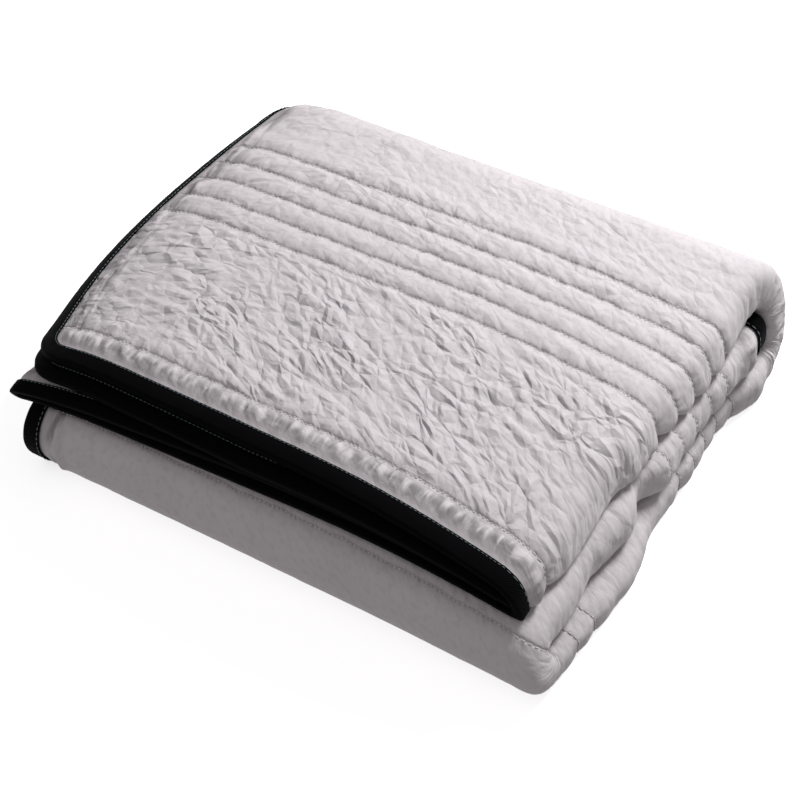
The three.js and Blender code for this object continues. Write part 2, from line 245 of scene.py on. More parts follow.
# The main creases turn from one heading to the other across this stretch of the cloth
CREASE_TURN_LEFT = 20.0
CREASE_TURN = -19.0
CREASE_TURN_OVER = (60.0, 210.0)

# Relief of the outer face along the blanket: strength of each kind
RELIEF = table(
    "along puff crumple pucker",
    (0, 0.0, 0.0, 0.0),
    (24, 1.0, 0.3, 1.8),
    (45, 1.2, 0.8, 1.8),
    (70, 1.2, 1.6, 1.0),
    (200, 1.2, 1.5, 1.0),
    (222, 2.0, 0.75, 1.3),
    (336, 2.0, 0.75, 1.3),
    (360, 1.2, 0.6, 0.9),
    (470, 1.0, 0.8, 0.7),
    (560, 0.7, 0.7, 0.7),
    (620, 0.6, 0.5, 0.7),
    (950, 0.6, 0.4, 0.7),
    (1000, 0.8, 0.35, 0.5),
    (1060, 0.8, 0.35, 0.5),
    (1100, 0.7, 0.5, 0.7),
    (1470, 0.7, 0.5, 0.7),
)


def smoothstep(at, low, high):
    t = np.clip((at - low) / (high - low), 0.0, 1.0)
    return t * t * (3.0 - 2.0 * t)


def lerp(a, b, t):
    return a + (b - a) * t


def read_table(rows, key, column, at):
    """A smooth curve through one column of a table, at many places at once."""
    knots, values = rows[key], rows[column]
    slopes = np.gradient(values)
    slopes[1:-1] = (values[2:] - values[:-2]) / (knots[2:] - knots[:-2])
    slopes[0] = (values[1] - values[0]) / (knots[1] - knots[0])
    slopes[-1] = (values[-1] - values[-2]) / (knots[-1] - knots[-2])
    row = np.clip(np.searchsorted(knots, at, side="left") - 1, 0, len(knots) - 2)
    span = knots[row + 1] - knots[row]
    t = np.clip((at - knots[row]) / span, 0.0, 1.0)
    t2, t3 = t * t, t * t * t
    start = (2 * t3 - 3 * t2 + 1) * values[row] + (t3 - 2 * t2 + t) * span * slopes[row]
    end = (3 * t2 - 2 * t3) * values[row + 1] + (t3 - t2) * span * slopes[row + 1]
    return start + end


def lay_out_side_view():
    """The side view as stretches of known start, each a straight or an arc."""
    heading = math.radians(NOSE_TURN)
    along = 0.0
    y = FRONT_ROLL_Y - NOSE_RADIUS * math.sin(heading)
    z = ROLL_CENTRE_Z + NOSE_RADIUS * math.cos(heading)
    stretches = []
    for part in SIDE_VIEW:
        stretch = dict(part, start=along, heading=heading, y=y, z=z)
        radius = part.get("radius")
        if radius:
            angle = math.radians(part["turn"])
            stretch["centre_y"] = y + radius * math.sin(heading)
            stretch["centre_z"] = z - radius * math.cos(heading)
            along += (radius + OUTER_FOLD_RADIUS) * angle
            heading -= angle
            y = stretch["centre_y"] - radius * math.sin(heading)
            z = stretch["centre_z"] + radius * math.cos(heading)
        else:
            along += part["run"]
            y += part["run"] * math.cos(heading)
            z += part["run"] * math.sin(heading)
        stretch["end"] = along
        stretches.append(stretch)
    return stretches


STRETCHES = lay_out_side_view()
QUILT_LENGTH = STRETCHES[-1]["end"]
STRETCH_END = {stretch["part"]: stretch["end"] for stretch in STRETCHES}


def side_view(along):
    """Place and outward direction in the side view, along the first ply."""
    y, z, out_y, out_z = (np.empty_like(along) for _ in range(4))
    ends = np.array([stretch["end"] for stretch in STRETCHES])
    which = np.clip(np.searchsorted(ends, along, side="left"), 0, len(STRETCHES) - 1)
    for index, stretch in enumerate(STRETCHES):
        here = which == index
        local = along[here] - stretch["start"]
        heading = np.full_like(local, stretch["heading"])
        radius = stretch.get("radius")
        if radius:
            heading -= local / (radius + OUTER_FOLD_RADIUS)
            y[here] = stretch["centre_y"] - radius * np.sin(heading)
            z[here] = stretch["centre_z"] + radius * np.cos(heading)
        else:
            y[here] = stretch["y"] + local * np.cos(heading)
            z[here] = stretch["z"] + local * np.sin(heading)
        out_y[here] = -np.sin(heading)
        out_z[here] = np.cos(heading)
    return y, z, out_y, out_z


PIECES_ACROSS = (
    ("first", PLY_RUN),
    ("outer fold", OUTER_FOLD_FLAT),
    ("fourth", PLY_RUN),
    ("spine", SMALL_FOLD_FLAT),
    ("third", PLY_RUN),
    ("inner fold", SMALL_FOLD_FLAT),
    ("second", PLY_RUN),
)
PIECE_ENDS = np.cumsum([flat for _, flat in PIECES_ACROSS])


def pieces_at(u):
    """Each piece across the blanket, with the points on it and how far along it they are."""
    which = np.clip(np.searchsorted(PIECE_ENDS, u, side="left"), 0, len(PIECES_ACROSS) - 1)
    for index, (name, flat) in enumerate(PIECES_ACROSS):
        here = which == index
        if here.any():
            yield name, here, (u[here] - (PIECE_ENDS[index] - flat)) / flat


def nose_reach(u):
    reach = np.empty_like(u)
    for name, here, part in pieces_at(u):
        start, middle, end = NOSE_REACH[name]
        first_half = lerp(start, middle, 2 * part)
        reach[here] = np.where(part < 0.5, first_half, lerp(middle, end, 2 * part - 1))
    return reach


def fold_point(centre_x, centre_h, radius, angle, squareness):
    """A point on a fold whose section is a little squarer than a half circle."""
    cos, sin = np.cos(angle), np.sin(angle)
    total = np.abs(cos) ** squareness + np.abs(sin) ** squareness
    reach = radius * total ** (-1.0 / squareness)
    return centre_x + reach * cos, centre_h + reach * sin


def pushed_in(along):
    rows = zip(PUSHES["along"], PUSHES["reach"], PUSHES["push"])
    return sum(push * np.exp(-((along - at) / reach) ** 2) for at, reach, push in rows)


def section_points(u, w, along):
    """Places in the four-ply section: x across, and h outwards from its middle."""
    right = read_table(OUTLINE, "along", "right", along) - pushed_in(along)
    left = read_table(OUTLINE, "along", "left", along)
    fold_x = right - OUTER_FOLD_RADIUS - QUILT_THICKNESS / 2
    spine_x = left - SPINE_OVERHANG + SMALL_FOLD_RADIUS + QUILT_THICKNESS / 2
    x, h = np.empty_like(u), np.empty_like(u)
    for name, here, part in pieces_at(u):
        rise, turn = w[here], math.pi * part
        fold_here, spine_here, left_here = fold_x[here], spine_x[here], left[here]
        if name == "first":
            x[here], h[here] = lerp(left_here, fold_here, part), OUTER_FOLD_RADIUS + rise
        elif name == "outer fold":
            x[here], h[here] = fold_point(
                fold_here, 0.0, OUTER_FOLD_RADIUS + rise, math.pi / 2 - turn, FOLD_SQUARENESS)
        elif name == "fourth":
            x[here], h[here] = lerp(fold_here, spine_here, part), -OUTER_FOLD_RADIUS - rise
        elif name == "spine":
            x[here], h[here] = fold_point(
                spine_here, -2 * SMALL_FOLD_RADIUS, SMALL_FOLD_RADIUS + rise,
                -math.pi / 2 - turn, 2.0)
        elif name == "third":
            x[here], h[here] = lerp(spine_here, fold_here, part), rise - SMALL_FOLD_RADIUS
        elif name == "inner fold":
            x[here], h[here] = fold_point(
                fold_here, 0.0, SMALL_FOLD_RADIUS - rise, turn - math.pi / 2, FOLD_SQUARENESS)
        else:
            x[here] = lerp(fold_here, left_here, part)
            h[here] = SMALL_FOLD_RADIUS - rise
    lean = read_table(OUTLINE, "along", "lean", along)
    level = h / (OUTER_FOLD_RADIUS + QUILT_THICKNESS / 2)
    x -= lean * smoothstep(x, right - LEAN_REACH, right) * level
    return x, h


def top_flap_left(y):
    along = np.clip(y - FRONT_ROLL_Y + STRETCH_END["nose"], 0.0, FLAT_RUN)
    return read_table(OUTLINE, "along", "left", along)


def settle(x, y, z):
    """The pad is fuller in the middle, pressed down at the front right and rounded at the left."""
    side = np.clip(x / HALF_SPAN, -1.0, 1.0)
    left = read_table(HEIGHTS, "y", "left", y)
    middle = read_table(HEIGHTS, "y", "middle", y)
    right = read_table(HEIGHTS, "y", "right", y)
    edge = np.where(side < 0, left, right)
    from_left = x - top_flap_left(y)
    near_left = np.clip(1.0 - from_left / DROOP_WIDTH, 0.0, DROOP_REACH)
    at_edge = np.clip(1.0 - from_left / EDGE_WIDTH, 0.0, DROOP_REACH)
    droop = read_table(HEIGHTS, "y", "droop", y) * near_left ** 2
    droop += read_table(HEIGHTS, "y", "edge", y) * at_edge ** 2
    z = z * lerp(middle, edge, side * side) * (1.0 - droop)
    y = y - FRONT_SKEW * side * smoothstep(-y, 0.0, -FRONT_ROLL_Y)
    return x, y, z


def fold(u, v, w):
    """From the flat blanket to the folded pad, in metres; w is the height over the cloth's middle."""
    u, v, w = (np.asarray(each, dtype=float).ravel() for each in np.broadcast_arrays(u, v, w))
    along = v - nose_reach(u) * (1.0 - smoothstep(v, 0.0, NOSE_REACH_FADE))
    x, h = section_points(u, w, along)
    y, z, out_y, out_z = side_view(along)
    x, y, z = settle(x, y + h * out_y, z + h * out_z)
    return (np.stack([x, y, z], axis=1) - PAD_MIDDLE) * MM


def noise(x, y, seed):
    """Smooth seeded noise in two dimensions, from about -1 to 1."""
    random = np.random.default_rng(seed)
    shuffle = random.permutation(256)
    angle = random.random(256) * 2 * math.pi
    x0, y0 = np.floor(x).astype(int), np.floor(y).astype(int)
    fx, fy = x - x0, y - y0

    def corner(dx, dy):
        turn = angle[shuffle[(shuffle[(x0 + dx) % 256] + y0 + dy) % 256]]
        return np.cos(turn) * (fx - dx) + np.sin(turn) * (fy - dy)

    ease_x = fx ** 3 * (fx * (6 * fx - 15) + 10)
    ease_y = fy ** 3 * (fy * (6 * fy - 15) + 10)
    low = lerp(corner(0, 0), corner(1, 0), ease_x)
    high = lerp(corner(0, 1), corner(1, 1), ease_x)
    return 1.5 * lerp(low, high, ease_y)


def creases(u, v, length, width, turn, seed):
    """Sharp creases of about this length and spacing, from 0 in a valley to 1 on a crest."""
    cos, sin = math.cos(math.radians(turn)), math.sin(math.radians(turn))
    lengthwise = (u * cos + v * sin) / length
    across = (v * cos - u * sin) / width
    bend = 0.6 * noise(lengthwise * 0.9, across * 0.35, seed + 1)
    return 1.0 - np.clip(np.abs(noise(lengthwise, across + bend, seed)) * 1.8, 0.0, 1.0)


def crease_places(u, v):
    """Coordinates that run along the main creases, whose direction fans out across the cloth."""
    steps = np.linspace(-10.0, QUILT_WIDTH + 10.0, 800)
    turn = lerp(CREASE_TURN_LEFT, CREASE_TURN, smoothstep(steps, *CREASE_TURN_OVER))
    rise = np.tan(np.radians(turn))
    drift = np.concatenate([[0.0], np.cumsum((rise[1:] + rise[:-1]) / 2 * np.diff(steps))])
    return u, v - np.interp(u, steps, drift)


def crease_sum(u, v, sets):
    """Several sets of creases added up."""
    return sum(
        share * creases(u, v, length, spacing, turn, seed)
        for length, spacing, turn, seed, share in sets)


def crumple(u, v):
    """The washed cloth's crumples: long creases with shorter ones between them."""
    sharp = crease_sum(*crease_places(u, v), CRUMPLE_SETS)
    swell = noise(u / 60.0, v / 45.0, 67)
    rough = lerp(0.4, 1.0, smoothstep(noise(u / 95.0, v / 60.0, 73), -0.35, 0.35))
    return rough * (sharp - 0.6) + 0.5 * swell


def wander(u):
    """How far the quilting rows stray from their straight lines."""
    lengths = 2 * math.pi / WANDER["length"]
    return sum(reach * np.sin(u * turn) for reach, turn in zip(WANDER["reach"], lengths))


def row_distance(u, v):
    """Distance to the nearest quilting row; the rows wander a little."""
    offsets = (v + wander(u))[:, None] - QUILTING_ROWS[None, :]
    return np.abs(offsets).min(axis=1)


def edge_distance(u, v):
    """Distance from a flat point to the bound edge."""
    from_side = np.minimum(u, QUILT_WIDTH - u)
    from_end = np.minimum(v, QUILT_LENGTH - v)
    in_corner = (from_side < CORNER_RADIUS) & (from_end < CORNER_RADIUS)
    rounded = CORNER_RADIUS - np.hypot(CORNER_RADIUS - from_side, CORNER_RADIUS - from_end)
    return np.where(in_corner, rounded, np.minimum(from_side, from_end))


def exposure(u, v):
    """How free the outer face is to stand proud: fully on the top, front and back."""
    on_bottom = smoothstep(v, *REST_START) * (1.0 - smoothstep(v, *REST_END))
    hidden_inside = smoothstep(v, *INSIDE_START)
    ply_one = 1.0 - np.maximum(on_bottom, hidden_inside)
    turn = (u - PLY_RUN) / OUTER_FOLD_FLAT
    on_fold = smoothstep(turn, -0.25, 0.2) * (1.0 - smoothstep(turn, 0.72, 1.0))
    before_fold = 1.0 - smoothstep(turn, 0.5, 1.0)
    return np.maximum(ply_one * before_fold, on_fold)


def fold_gathers(u, v):
    """Short creases round the outer fold, where the cloth is bunched."""
    turn = (u - PLY_RUN) / OUTER_FOLD_FLAT
    weight = smoothstep(turn, -0.9, 0.1) * (1.0 - smoothstep(turn, 0.85, 1.1))
    bunch = crease_sum(v, u, GATHER_SETS)
    share = smoothstep(noise(v / 40.0, u / 90.0, 89), -0.5, 0.5)
    return weight * share * (bunch - 0.7)


def behind_tape(near_edge):
    """The share of the lumps that stand behind the binding tape."""
    return np.exp(-((near_edge - LUMPS_AT) / LUMPS_REACH) ** 2)


def outer_rise(u, v, cloth):
    """Height of the outer face over the cloth's middle, in millimetres."""
    distance = row_distance(u, v)
    free = exposure(u, v)
    dome = np.sin(np.clip(distance / DOME_REACH, 0.0, 1.0) * math.pi / 2)
    seam = np.exp(-(distance / SEAM_WIDTH) ** 2)
    puckers = noise(u / PUCKER_SPACING, v / PUCKER_LENGTH, 91)
    puckers = puckers * np.exp(-distance / PUCKER_REACH)
    near_edge = edge_distance(u, v)
    hem = smoothstep(near_edge, HEM_WIDTH - HEM_RAMP, HEM_SHOULDER)
    puff = read_table(RELIEF, "along", "puff", v) * cloth.puff
    rumple = read_table(RELIEF, "along", "crumple", v) * cloth.crumple
    gather = read_table(RELIEF, "along", "pucker", v) * cloth.pucker
    pinch = lerp(1.0, LOWER_PINCH, smoothstep(v, *LOWER_START))
    fullness = lerp(1.0, dome, pinch)
    base = lerp(STITCHED_THICKNESS / 2 - ROW_DROP, QUILT_THICKNESS / 2, fullness)
    base = base - SEAM_DEPTH * seam
    relief = puff * dome + rumple * crumple(u, v) * lerp(0.15, 1.0, dome) + gather * puckers
    relief += cloth.gather * fold_gathers(u, v)
    relief = np.where(relief > 0, relief * free, relief * lerp(0.25, 1.0, free))
    lumps = noise(u / 11.0, v / 34.0, 101) + 0.6 * noise(u / 6.5, v / 20.0, 103)
    relief += free * cloth.scallop * lumps * behind_tape(near_edge)
    return lerp(HEM_THICKNESS / 2, base + relief, hem)


def inner_rise(u, v):
    """Depth of the inner face under the cloth's middle, in millimetres."""
    pads = 1.0 - np.exp(-row_distance(u, v) / PAD_REACH)
    hem = smoothstep(edge_distance(u, v), HEM_WIDTH - HEM_RAMP, HEM_SHOULDER)
    return lerp(HEM_THICKNESS / 2, lerp(STITCHED_THICKNESS, QUILT_THICKNESS, pads) / 2, hem)


# The quilt's grid: fine cells in each zone, in blocks of four by four
BLOCK = 4
ZONES_ACROSS = (
    (PLY_RUN, 232), (OUTER_FOLD_FLAT, 24), (PLY_RUN, 60), (SMALL_FOLD_FLAT, 12),
    (PLY_RUN, 60), (SMALL_FOLD_FLAT, 12), (PLY_RUN, 60),
)
CELLS_ALONG = {
    "nose": 4, "top flap": 180, "upper back corner": 24, "back": 8,
    "lower back corner": 24, "bottom": 96, "front roll": 40, "inner flap": 96,
}
# Rows of the grid crowd together this much, and this near, at the quilting rows
ROW_CROWDING = 1.4
CROWDING_REACH = 4.0
STATION_SAMPLES = 2000
# How far the finest cells reach past the fold and the top flap, and the middling ones from the edge
FOLD_MARGIN = 30.0
FLAP_MARGIN = 12.0
NOSE_MARGIN = 70.0
SIDE_MARGIN = 24.0


def even_stations(zones):
    ends = [0.0]
    for flat, cells in zones:
        start = ends[-1]
        ends.extend(start + flat * (step + 1) / cells for step in range(cells))
    return np.array(ends)


def graded_stations(zones):
    """Stations that lie closer together near the quilting rows."""
    ends = [0.0]
    for start, end, cells in zones:
        fine = np.linspace(start, end, STATION_SAMPLES)
        nearest = np.abs(fine[:, None] - QUILTING_ROWS[None, :]).min(axis=1)
        density = 1.0 + ROW_CROWDING * np.exp(-(nearest / CROWDING_REACH) ** 2)
        total = np.concatenate([[0.0], np.cumsum((density[1:] + density[:-1]) / 2)])
        ends.extend(np.interp(np.arange(1, cells + 1) / cells, total / total[-1], fine))
    return np.array(ends)


ACROSS = even_stations(ZONES_ACROSS)
ALONG = graded_stations([
    (stretch["start"], stretch["end"], CELLS_ALONG[stretch["part"]]) for stretch in STRETCHES
])


def flat_point(column, row):
    """The flat place of a grid node: the bound sides follow the rounded corners."""
    u, v = ACROSS[column], ALONG[row]
    from_end = np.clip(np.minimum(v, QUILT_LENGTH - v), 0.0, CORNER_RADIUS)
    inset = CORNER_RADIUS - np.sqrt(CORNER_RADIUS ** 2 - (CORNER_RADIUS - from_end) ** 2)
    left = inset * (1.0 - smoothstep(u, 0.0, CORNER_EASE))
    right = inset * (1.0 - smoothstep(QUILT_WIDTH - u, 0.0, CORNER_EASE))
    return u + left - right, v


def cell_size(column, row):
    """How many fine cells make one face of the outer side, by where the block lies."""
    u, v = ACROSS[column + BLOCK // 2], ALONG[row + BLOCK // 2]
    fold_end = PLY_RUN + OUTER_FOLD_FLAT
    if PLY_RUN - FOLD_MARGIN < u < fold_end:
        return 1
    if u < fold_end and v < STRETCH_END["top flap"] + FLAP_MARGIN:
        return 1
    if u < fold_end and STRETCH_END["bottom"] < v < STRETCH_END["front roll"]:
        return 1
    if u < fold_end and v < STRETCH_END["lower back corner"]:
        return 2
    if v < NOSE_MARGIN or u < SIDE_MARGIN:
        return 2
    return BLOCK


def grid_faces(size_at):
    """Faces of one side of the cloth. Where fine and coarse blocks meet, the coarse
    face takes in the finer nodes on its border, so the side stays closed."""
    columns, rows = len(ACROSS) - 1, len(ALONG) - 1
    cells = []
    used = np.zeros((columns + 1, rows + 1), dtype=bool)
    used[0, :] = used[-1, :] = used[:, 0] = used[:, -1] = True
    for column in range(0, columns, BLOCK):
        for row in range(0, rows, BLOCK):
            size = size_at(column, row)
            for i in range(column, column + BLOCK, size):
                for j in range(row, row + BLOCK, size):
                    cells.append((i, j, size))
                    used[i, j] = used[i + size, j] = used[i, j + size] = True
                    used[i + size, j + size] = True
    faces = []
    for i, j, size in cells:
        border = [(i + step, j) for step in range(size)]
        border += [(i + size, j + step) for step in range(size)]
        border += [(i + size - step, j + size) for step in range(size)]
        border += [(i, j + size - step) for step in range(size)]
        faces.append([node for node in border if used[node]])
    return used, faces


def rim_nodes():
    """The grid's outer rim, node by node, the way round that keeps the cloth at the left."""
    columns, rows = len(ACROSS) - 1, len(ALONG) - 1
    rim = [(column, 0) for column in range(columns)]
    rim += [(columns, row) for row in range(rows)]
    rim += [(column, rows) for column in range(columns, 0, -1)]
    rim += [(0, row) for row in range(rows, 0, -1)]
    return rim


def add_uv(mesh, name, places):
    corner_point = np.empty(len(mesh.loops), dtype=np.int32)
    mesh.loops.foreach_get("vertex_index", corner_point)
    uv = mesh.uv_layers.new(name=name)
    uv.data.foreach_set("uv", (places[corner_point] * MM).astype(np.float32).ravel())


def new_piece(name, points, faces, flat_places, material):
    """A mesh object at the origin, with the flat places of its points as its UV map."""
    mesh = bpy.data.meshes.new(name)
    mesh.from_pydata(points.tolist(), [], faces)
    add_uv(mesh, "flat_cloth", flat_places)
    mesh.polygons.foreach_set("use_smooth", np.ones(len(mesh.polygons), dtype=bool))
    mesh.materials.append(material)
    mesh.validate()
    mesh.update()
    piece = bpy.data.objects.new(name, mesh)
    bpy.context.collection.objects.link(piece)
    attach(piece, "root")
    return piece


def add_values(piece, name, values):
    """A number for each point, which the material reads."""
    attribute = piece.data.attributes.new(name, "FLOAT", "POINT")
    attribute.data.foreach_set("value", values.astype(np.float32))


def make_quilt(cloth):
    outer_used, outer_faces = grid_faces(cell_size)
    inner_used, inner_faces = grid_faces(lambda column, row: BLOCK)
    outer_number = np.cumsum(outer_used.ravel()).reshape(outer_used.shape) - 1
    inner_number = np.cumsum(inner_used.ravel()).reshape(inner_used.shape) - 1
    inner_number += int(outer_used.sum())
    outer_u, outer_v = flat_point(*np.nonzero(outer_used))
    inner_u, inner_v = flat_point(*np.nonzero(inner_used))
    rise = outer_rise(outer_u, outer_v, cloth)
    points = np.concatenate([
        fold(outer_u, outer_v, rise),
        fold(inner_u, inner_v, -inner_rise(inner_u, inner_v)),
    ])
    points[:, 2] = np.maximum(points[:, 2], 0.0)
    faces = [[int(outer_number[node]) for node in face] for face in outer_faces]
    faces += [[int(inner_number[node]) for node in reversed(face)] for face in inner_faces]
    rim = rim_nodes()
    for node, following in zip(rim, rim[1:] + rim[:1]):
        faces.append([
            int(outer_number[following]), int(outer_number[node]),
            int(inner_number[node]), int(inner_number[following]),
        ])
    flat_places = np.stack([
        np.concatenate([outer_u, inner_u]), np.concatenate([outer_v, inner_v]),
    ], axis=1)
    piece = new_piece("quilted_cloth", points, faces, flat_places, cotton_material(cloth))
    add_uv(piece.data, "crease_lines", np.stack(crease_places(*flat_places.T), axis=1))
    # The material paints shade from this relief, darker where it is low
    relief = (rise - QUILT_THICKNESS / 2) / 4.0
    add_values(piece, "relief", np.concatenate([relief, np.zeros(len(inner_u))]))
    add_values(piece, "fluff", behind_tape(edge_distance(*flat_places.T)))
    add_values(piece, "rumple", read_table(RELIEF, "along", "crumple", flat_places[:, 1]))
    return piece


def rim_path():
    """Flat places along the rim, with the direction into the cloth at each."""
    rim = np.array(rim_nodes())
    u, v = flat_point(rim[:, 0], rim[:, 1])
    step_u, step_v = np.roll(u, -1) - u, np.roll(v, -1) - v
    length = np.hypot(step_u, step_v)
    into_u, into_v = -step_v / length, step_u / length
    into_u, into_v = into_u + np.roll(into_u, 1), into_v + np.roll(into_v, 1)
    scale = 2.0 / (into_u ** 2 + into_v ** 2)
    travelled = np.concatenate([[0.0], np.cumsum(length)[:-1]])
    return u, v, into_u * scale, into_v * scale, travelled, length.sum()


def make_binding(edge):
    inner = HEM_THICKNESS / 2 + TAPE_CLEARANCE
    outer = inner + TAPE_THICKNESS
    nip = -TAPE_CLEARANCE
    crest = nip - TAPE_EDGE_DEPTH
    upper = (
        (nip, inner), (TAPE_WIDTH, inner), (TAPE_WIDTH + 0.2, outer - 0.5),
        (TAPE_WIDTH - TAPE_BEVEL, outer), (TAPE_CROWN_AT, outer + 0.1), (TAPE_BEVEL, outer),
        (lerp(crest, nip, 0.55), lerp(inner, outer, 0.55)), (lerp(crest, nip, 0.12), 0.55 * inner),
    )
    section = [*upper, (crest, 0.0), *((depth, -height) for depth, height in reversed(upper))]
    section = np.array(section[::-1])
    u, v, into_u, into_v, travelled, _ = rim_path()
    nodes, corners = len(u), len(section)
    depth = np.repeat(section[:, 0], nodes)
    rise = np.repeat(section[:, 1], nodes)
    tile = lambda values: np.tile(values, corners)
    wave = noise(tile(travelled) / RIPPLE_LENGTH, depth / RIPPLE_WIDTH, 131) * edge.ripple
    outside = np.abs(rise) > inner + 0.1
    wave = np.clip(wave, -RIPPLE_LIMIT, RIPPLE_LIMIT)
    rise = rise + np.where(outside, np.sign(rise) * wave, 0.0)
    places_u = tile(u) + depth * tile(into_u)
    places_v = tile(v) + depth * tile(into_v)
    points = fold(places_u, places_v, rise)
    points[:, 2] = np.maximum(points[:, 2], 0.0)
    faces = []
    for corner in range(corners):
        after = (corner + 1) % corners
        for node in range(nodes):
            following = (node + 1) % nodes
            faces.append([
                corner * nodes + node, corner * nodes + following,
                after * nodes + following, after * nodes + node,
            ])
    around = np.repeat(np.cumsum(np.r_[0.0, np.hypot(*np.diff(section, axis=0).T)]), nodes)
    flat_places = np.stack([tile(travelled), around], axis=1)
    return new_piece("binding_tape", points, faces, flat_places, tape_material(edge))


# A stitch is a short four-sided thread, thick in the middle: part of length, and part of radius
STITCH_STATIONS = ((0.0, 0.45), (0.5, 1.0), (1.0, 0.45))
THREAD_SIDES = 4
# Thread radius, height over what it lies on, and share of the pitch that a stitch fills
EDGE_THREAD = 0.42
EDGE_LIFT = 0.25
EDGE_FILL = 0.68
QUILTING_THREAD = 0.6
QUILTING_LIFT = 0.75
QUILTING_FILL = 0.62
# The quilting stitches lie this far in front of the groove's bottom
QUILTING_SIDE = 0.7


def make_stitches(name, starts, ends, radius, material):
    """Threads between flat places (u, v, w), each lying on the cloth."""
    count, sides = len(starts), THREAD_SIDES
    lift = np.array([0.0, 0.0, 1.0])
    rings = []
    for part, size in STITCH_STATIONS:
        place = lerp(starts, ends, part)
        middle = fold(*place.T)
        up = fold(*(place + lift).T) - middle
        up /= np.linalg.norm(up, axis=1)[:, None]
        run = fold(*ends.T) - fold(*starts.T)
        run /= np.linalg.norm(run, axis=1)[:, None]
        side = np.cross(run, up)
        for turn in range(sides):
            angle = math.radians(45 + 360 / sides * turn)
            outwards = math.cos(angle) * side + math.sin(angle) * up
            rings.append(middle + radius * size * MM * outwards)
    points = np.stack(rings, axis=1).reshape(-1, 3)
    pattern = []
    for ring in range(len(STITCH_STATIONS) - 1):
        for turn in range(sides):
            following = (turn + 1) % sides
            low, high = ring * sides, (ring + 1) * sides
            pattern.append([low + turn, low + following, high + following, high + turn])
    pattern.append([3, 2, 1, 0])
    last = (len(STITCH_STATIONS) - 1) * sides
    pattern.append([last, last + 1, last + 2, last + 3])
    per_stitch = len(STITCH_STATIONS) * sides
    pattern = np.array(pattern)
    faces = (pattern[None] + per_stitch * np.arange(count)[:, None, None]).reshape(-1, 4)
    flat_places = np.repeat((starts[:, :2] + ends[:, :2]) / 2, per_stitch, axis=0)
    return new_piece(name, points, faces.tolist(), flat_places, material)


def make_edge_stitches(edge):
    """One row of stitches near the tape's inner edge, on both faces of the cloth."""
    u, v, into_u, into_v, travelled, total = rim_path()
    depth = TAPE_WIDTH - edge.stitch_inset
    height = HEM_THICKNESS / 2 + TAPE_CLEARANCE + TAPE_THICKNESS + EDGE_LIFT
    pitch = edge.stitch_pitch
    starts_at = np.arange(0.0, total - pitch, pitch)

    def place(at, side):
        level = np.full(len(at), side * height)
        around = np.append(travelled, total)
        closed = lambda values: np.interp(at, around, np.append(values, values[0]))
        return np.stack([
            closed(u + depth * into_u), closed(v + depth * into_v), level,
        ], axis=1)

    length = EDGE_FILL * pitch
    starts = np.concatenate([place(starts_at, 1.0), place(starts_at, -1.0)])
    ends = np.concatenate([place(starts_at + length, 1.0), place(starts_at + length, -1.0)])
    return make_stitches(
        "binding_stitches", starts, ends, EDGE_THREAD,
        thread_material("binding_thread", edge.thread))


def make_quilting_stitches(cloth):
    """Stitches in the grooves of the outer ply and its fold."""
    pitch = cloth.stitch_pitch
    across = np.arange(HEM_SHOULDER, PLY_RUN + OUTER_FOLD_FLAT, pitch)
    u = np.tile(across, len(QUILTING_ROWS))
    v = np.repeat(QUILTING_ROWS, len(across))
    u_end = u + QUILTING_FILL * pitch

    def on_row(at, row):
        place_v = row - wander(at) - QUILTING_SIDE
        return np.stack([at, place_v, outer_rise(at, place_v, cloth) + QUILTING_LIFT], axis=1)

    return make_stitches(
        "quilting_stitches", on_row(u, v), on_row(u_end, v), QUILTING_THREAD,
        thread_material("quilting_thread", cloth.thread))


